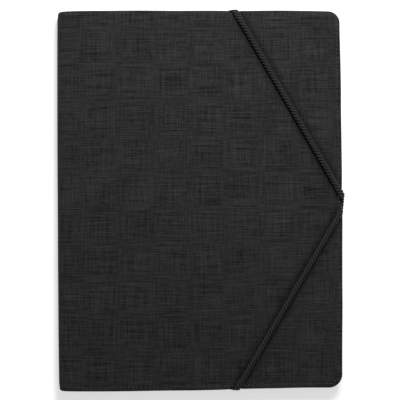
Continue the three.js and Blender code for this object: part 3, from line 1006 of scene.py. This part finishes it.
def make_cord(name, cord):
    """A twisted cord: the plies' outline, turned a little more at each step along the line."""
    centres, facings, widths, thicknesses, run = cord_line(cord_corners(cord))
    centres = settle(centres, CENTRE_SOFTENING)
    facings = settle(facings, FACING_SOFTENING)
    widths = settle(widths, SIZE_SOFTENING)
    thicknesses = settle(thicknesses, SIZE_SOFTENING)
    tangents = np.gradient(centres, axis=0)
    around = np.arange(CORD_SIDES) * 2 * math.pi / CORD_SIDES
    points, flats = [], []
    for number, centre in enumerate(centres):
        tangent = unit(tangents[number])
        facing = unit(facings[number] - tangent * (facings[number] @ tangent))
        across = np.cross(tangent, facing)
        ply_angle = around - 2 * math.pi * run[number] / TWIST_LEAD
        radius = ply_outline(ply_angle)
        wide = radius * np.cos(around) * widths[number] / CORD_DIAMETER
        thick = radius * np.sin(around) * thicknesses[number] / CORD_DIAMETER
        points.append(centre + np.outer(wide, across) + np.outer(thick, facing))
        run_here = np.full(CORD_SIDES, run[number])
        # The third value, the radius of the plies' outline, sets the elastic's painted shade between the
        # plies.
        flats.append(np.column_stack([run_here, ply_angle * CORD_DIAMETER / 2, radius]))
    faces = tube_faces(0, len(centres), CORD_SIDES)
    attributes = {"flat": np.concatenate(flats)}
    return make_object(
        name, np.concatenate(points), faces, MATERIALS["elastic"], attributes, CORD_SHARP_ANGLE
    )


def make_cords():
    for name, cord in CORDS.items():
        piece = make_cord(f"{name}_twisted_cord", cord)
        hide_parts(f"{name}_elastic_cord")
        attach(piece, "back_cover")
        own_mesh(piece)


# Inside: pockets, sleeve, pad and pen loop

def panel_lines(length):
    rim = np.array(PANEL_RIM)
    middle = np.linspace(rim[-1], length - rim[-1], int((length - 2 * rim[-1]) / PANEL_GRID) + 2)
    return np.concatenate([rim[:-1], middle, length - rim[::-1][1:]])


def panel_face(gx, gy, width, height, thickness, seed):
    """How far a panel stands off: a round rim, a sewn groove, a folded binding and slight waves."""
    to_side = np.minimum(gx, width - gx)
    rim = np.minimum(to_side, np.minimum(gy, height - gy))
    rim_share = np.clip(rim / PANEL_EDGE_RADIUS, 0, 1)
    face = (thickness - PANEL_SLACK) * np.sqrt(1 - (1 - rim_share) ** 2)
    sewn = np.minimum(to_side, gy)
    face -= PANEL_GROOVE * near(sewn - PANEL_SEAM, PANEL_GROOVE_REACH)
    bound = smooth(BINDING_EDGE + BINDING_SLOPE, BINDING_EDGE, height - gy)
    face += BINDING_RISE * bound * rim_share
    wave = PANEL_WAVE * waves(gx, gy, seed, PANEL_WAVE_LENGTH)
    return face + wave * smooth(PANEL_WAVE_START, PANEL_WAVE_FULL, rim)


def corner_shift(gx, gy, width, height):
    """What draws a panel's corner points in onto round corners."""
    u = np.clip((PANEL_CORNER - np.minimum(gx, width - gx)) / PANEL_CORNER, 0, 1)
    v = np.clip((PANEL_CORNER - np.minimum(gy, height - gy)) / PANEL_CORNER, 0, 1)
    in_x = np.where(u * v > 0, PANEL_CORNER * (u - u * np.sqrt(1 - v ** 2 / 2)), 0)
    in_y = np.where(u * v > 0, PANEL_CORNER * (v - v * np.sqrt(1 - u ** 2 / 2)), 0)
    return np.where(gx < width / 2, in_x, -in_x), np.where(gy < height / 2, in_y, -in_y)


def soft_panel(name, node, body, side):
    """A sewn panel with an open top, on the lining of one cover, and its stitches."""
    low, high = (np.array(corner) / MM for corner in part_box(node))
    width, height, thickness = high - low
    gx, gy = np.meshgrid(panel_lines(width), panel_lines(height), indexing="ij")
    face = panel_face(gx, gy, width, height, thickness, len(name))
    shift_x, shift_y = corner_shift(gx, gy, width, height)
    px = low[0] + gx + shift_x
    py = low[1] + gy + shift_y
    base = high[2] if side == "front" else low[2]
    out = -1 if side == "front" else 1
    seen = np.stack([px, py, base + out * face], -1).reshape(-1, 3)
    hidden = np.stack([px, py, np.full(px.shape, base)], -1).reshape(-1, 3)
    across, tall = gx.shape
    faces = []
    for i in range(across - 1):
        for j in range(tall - 1):
            a = i * tall + j
            faces.append((a, a + tall, a + tall + 1, a + 1))
            b = a + across * tall
            faces.append((b, b + 1, b + tall + 1, b + tall))
    flat = np.concatenate([seen, hidden])
    piece = make_object(name, flat, faces, MATERIALS["lining"], {"flat": flat})
    weld(piece, 0.001)
    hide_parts(node)
    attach(piece, body)
    left, right = low[0] + PANEL_SEAM, high[0] - PANEL_SEAM
    bottom, top = low[1] + PANEL_SEAM, high[1] - BINDING_EDGE
    path = [(left, top), (left, bottom), (right, bottom), (right, top)]
    skin = thickness - PANEL_SLACK - PANEL_GROOVE

    def put(x, y, lift):
        height_here = skin + np.maximum(lift * 0.6, -skin)
        return np.stack(np.broadcast_arrays(x, y, base + out * height_here), -1)

    seam = stitches(f"{name}_stitches", path, put, len(node))
    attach(seam, body)


def make_sheets():
    """The pad's leaves, each a thin sheet with edges a little in or out of line."""
    low, high = (np.array(corner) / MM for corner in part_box("pad_sheets"))
    pitch = (high[2] - low[2]) / LEAVES
    draw = np.random.default_rng(LEAF_SEED)
    points, faces, flats = [], [], []
    for leaf in range(LEAVES):
        bottom = low[2] + leaf * pitch
        top = bottom + pitch * LEAF_SHARE
        shift_x, shift_y = draw.uniform(-LEAF_SHIFT, LEAF_SHIFT, 2)
        left = low[0] + LEAF_MARGIN + shift_x
        right = high[0] - LEAF_MARGIN + shift_x
        tail = low[1] + LEAF_MARGIN + shift_y
        head = high[1] - LEAF_MARGIN + min(shift_y, 0)
        base = len(points)
        for z in (bottom, top):
            face = 1.0 if leaf == LEAVES - 1 and z == top else 0.0
            for x, y in ((left, tail), (right, tail), (right, head), (left, head)):
                points.append((x, y, z))
                flats.append((x, y, face))
        faces.append((base + 3, base + 2, base + 1, base))
        faces.append((base + 4, base + 5, base + 6, base + 7))
        for k in range(4):
            n = (k + 1) % 4
            faces.append((base + k, base + n, base + n + 4, base + k + 4))
    piece = make_object("pad_leaves", points, faces, MATERIALS["paper"], {"flat": flats})
    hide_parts("pad_sheets")
    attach(piece, "back_cover")


def loop_profile(width, height, radius):
    """Points round a rectangle with round corners, with the way that each faces."""
    points = []
    for quarter, (sign_x, sign_y) in enumerate(((1, 1), (-1, 1), (-1, -1), (1, -1))):
        for step in range(LOOP_CORNER_STEPS + 1):
            angle = math.pi / 2 * (quarter + step / LOOP_CORNER_STEPS)
            x = sign_x * (width / 2 - radius) + radius * math.cos(angle)
            y = sign_y * (height / 2 - radius) + radius * math.sin(angle)
            points.append((x, y, math.cos(angle), math.sin(angle)))
    return np.array(points)


def make_pen_loop():
    """A woven elastic band, sewn into a loop, with firm edges."""
    low, high = (np.array(corner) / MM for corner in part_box("pen_loop"))
    middle = (low + high) / 2
    wide, length, tall = high - low
    profile = loop_profile(wide - LOOP_SLACK, tall - LOOP_SLACK, LOOP_CORNER)
    count = len(profile)
    run = np.concatenate([[0], np.cumsum(np.hypot(*np.diff(profile[:, :2], axis=0).T))])
    outer = [(0.0, -LOOP_WALL * 0.5), (0.12, -0.12), (0.4, 0.0), (1.2, 0.0), (1.7, -0.12), (2.4, -0.05)]
    inner = [(0.12, -LOOP_WALL * 0.85), (0.4, -LOOP_WALL)]
    bands = outer + [(length - inset, lift) for inset, lift in outer[::-1] + inner[::-1]] + inner
    points, flats, faces = [], [], []
    for along, lift in bands:
        for number, (x, z, nx, nz) in enumerate(profile):
            points.append((middle[0] + x + nx * lift, low[1] + along, middle[2] + z + nz * lift))
            # The third value, half the cord's size, keeps the band clear of the elastic's painted shade.
            flats.append((run[number], along, CORD_DIAMETER / 2))
    for band in range(len(bands)):
        after = (band + 1) % len(bands)
        for k in range(count):
            n = (k + 1) % count
            faces.append((band * count + k, band * count + n, after * count + n, after * count + k))
    piece = make_object("pen_loop_band", points, faces, MATERIALS["elastic"], {"flat": flats})
    weld(piece, 0.001)
    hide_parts("pen_loop")
    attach(piece, "back_cover")


def make_inside():
    soft_panel("document_pocket_panel", "document_pocket", "front_cover", "front")
    for number in (1, 2, 3):
        soft_panel(f"card_slot_panel_{number}", f"card_slot_{number}", "front_cover", "front")
    soft_panel("pad_sleeve_panel", "pad_sleeve", "back_cover", "back")
    make_sheets()
    make_pen_loop()


# Light and ground

def area_light(name, light):
    data = bpy.data.lights.new(name, "AREA")
    data.shape = "RECTANGLE"
    data.size = light["size"]
    data.size_y = light["size"]
    data.energy = light["power"]
    lamp = bpy.data.objects.new(name, data)
    lamp.location = light["place"]
    aim = Vector(light["target"]) - Vector(light["place"])
    lamp.rotation_mode = "QUATERNION"
    lamp.rotation_quaternion = aim.to_track_quat("-Z", "Y")
    bpy.context.scene.collection.objects.link(lamp)


def make_studio():
    scene = bpy.context.scene
    scene.view_settings.view_transform = "Standard"
    world = bpy.data.worlds.new("studio")
    world.use_nodes = True
    background = world.node_tree.nodes["Background"]
    background.inputs["Color"].default_value = (1, 1, 1, 1)
    background.inputs["Strength"].default_value = WORLD_STRENGTH
    scene.world = world
    area_light("key", KEY_LIGHT)
    area_light("fill", FILL_LIGHT)
    make_ground()


def make_ground():
    """A plain pale floor that glows a little for the camera, so that it comes out white."""
    mesh = bpy.data.meshes.new("ground")
    corners = [(-1, -1), (1, -1), (1, 1), (-1, 1)]
    mesh.from_pydata([(x * GROUND_REACH, y * GROUND_REACH, 0) for x, y in corners], [], [(0, 1, 2, 3)])
    ground = bpy.data.objects.new("ground", mesh)
    ground.location.z = -GROUND_DROP
    bpy.context.scene.collection.objects.link(ground)
    nodes = Nodes("white_ground")
    nodes.finish(grey(GROUND_LEVEL), 0.9)
    lit = nodes.add("ShaderNodeEmission")
    lit.inputs["Strength"].default_value = GROUND_GLOW
    path = nodes.add("ShaderNodeLightPath")
    seen = nodes.math("MAXIMUM", path.outputs["Is Camera Ray"], path.outputs["Is Glossy Ray"])
    seen = nodes.math("MAXIMUM", seen, path.outputs["Is Transmission Ray"])
    added = nodes.add("ShaderNodeAddShader")
    blend = nodes.add("ShaderNodeMixShader")
    output = nodes.tree.nodes["Material Output"]
    nodes.link(nodes.shader.outputs[0], added.inputs[0])
    nodes.link(lit.outputs[0], added.inputs[1])
    nodes.link(seen, blend.inputs[0])
    nodes.link(nodes.shader.outputs[0], blend.inputs[1])
    nodes.link(added.outputs[0], blend.inputs[2])
    nodes.link(blend.outputs[0], output.inputs[0])
    ground.data.materials.append(nodes.material)


def dress_solid(node, material):
    piece = bpy.data.objects[node]
    piece.data.materials.clear()
    piece.data.materials.append(MATERIALS[material])


make_camera()
make_studio()
make_covers()
make_cords()
make_inside()
for node in ("front_board", "spine_board", "back_board", "pad_backing_card"):
    dress_solid(node, "board")
dress_solid("pad_binding_strip", "tape")
